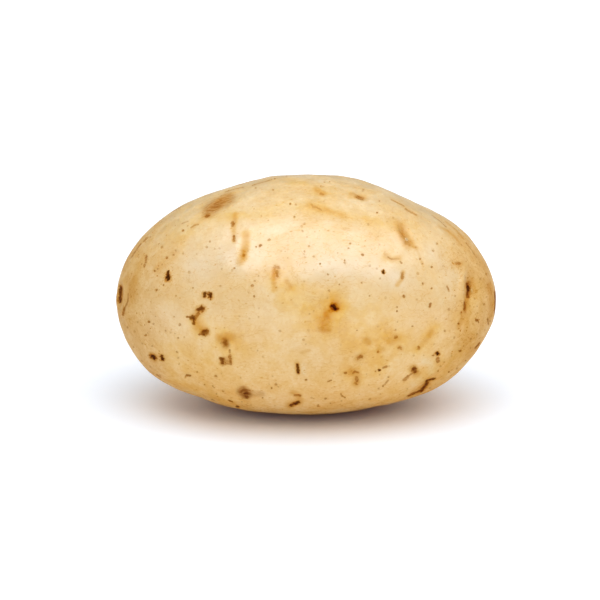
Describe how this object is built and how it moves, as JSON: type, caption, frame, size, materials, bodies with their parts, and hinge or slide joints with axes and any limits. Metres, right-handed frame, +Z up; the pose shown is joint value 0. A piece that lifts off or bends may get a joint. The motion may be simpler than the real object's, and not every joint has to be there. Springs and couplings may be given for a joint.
{
  "type": "potato",
  "caption": "Whole fresh potato with pale tan skin and shallow eyes, an oval tuber that rests on a small flat spot underneath.",
  "frame": {"origin": "under the middle of the tuber's box, on the surface that it rests on", "axes": "+X along the tuber from the stem end to the crown end, +Z up from the surface, -Y is the front as pictured"},
  "size_m": [0.1058, 0.0732, 0.0653],
  "materials": {
    "potato_skin": "thin waxy skin, satin, with brown corky scabs and pores"
  },
  "bodies": {
    "root": {"potato": "potato_skin"}
  },
  "joints": []
}
